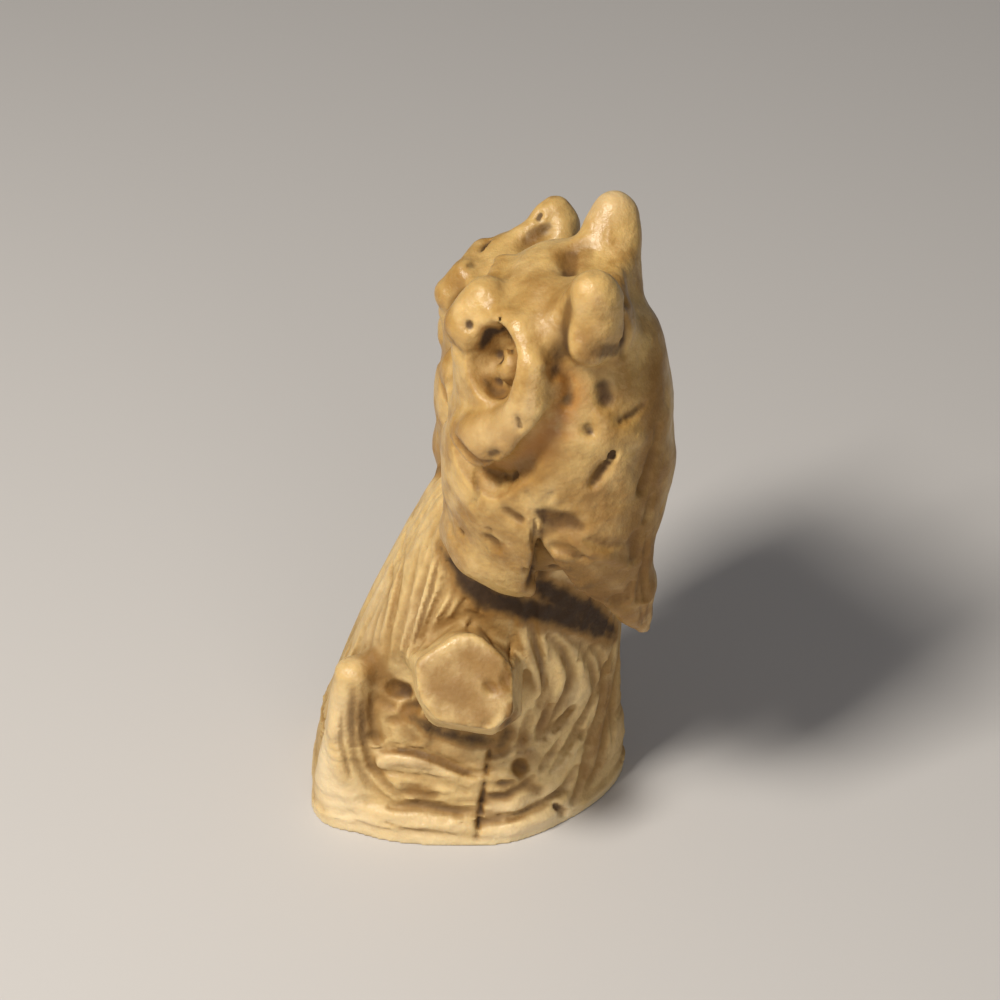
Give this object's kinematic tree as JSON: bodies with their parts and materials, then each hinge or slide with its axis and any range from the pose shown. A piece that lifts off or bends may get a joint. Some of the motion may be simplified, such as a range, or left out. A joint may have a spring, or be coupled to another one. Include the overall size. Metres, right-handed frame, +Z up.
{
  "type": "owl pair figurine",
  "caption": "Small cast resin ornament of an owl and its smaller mate perched side by side on a leaning tree stump with a sawn branch; it stands on its flat foot.",
  "frame": {"origin": "middle of the flat underside of the stump, at ground level", "axes": "+Z up, -Y the way the owls look, +X the side with the larger owl and the sawn branch"},
  "size_m": [0.0331, 0.0344, 0.0676],
  "materials": {
    "resin": "semi-gloss ivory-coloured resin with brown stain rubbed into the recesses"
  },
  "bodies": {
    "root": {"owl_pair_figurine": "resin"}
  },
  "joints": []
}
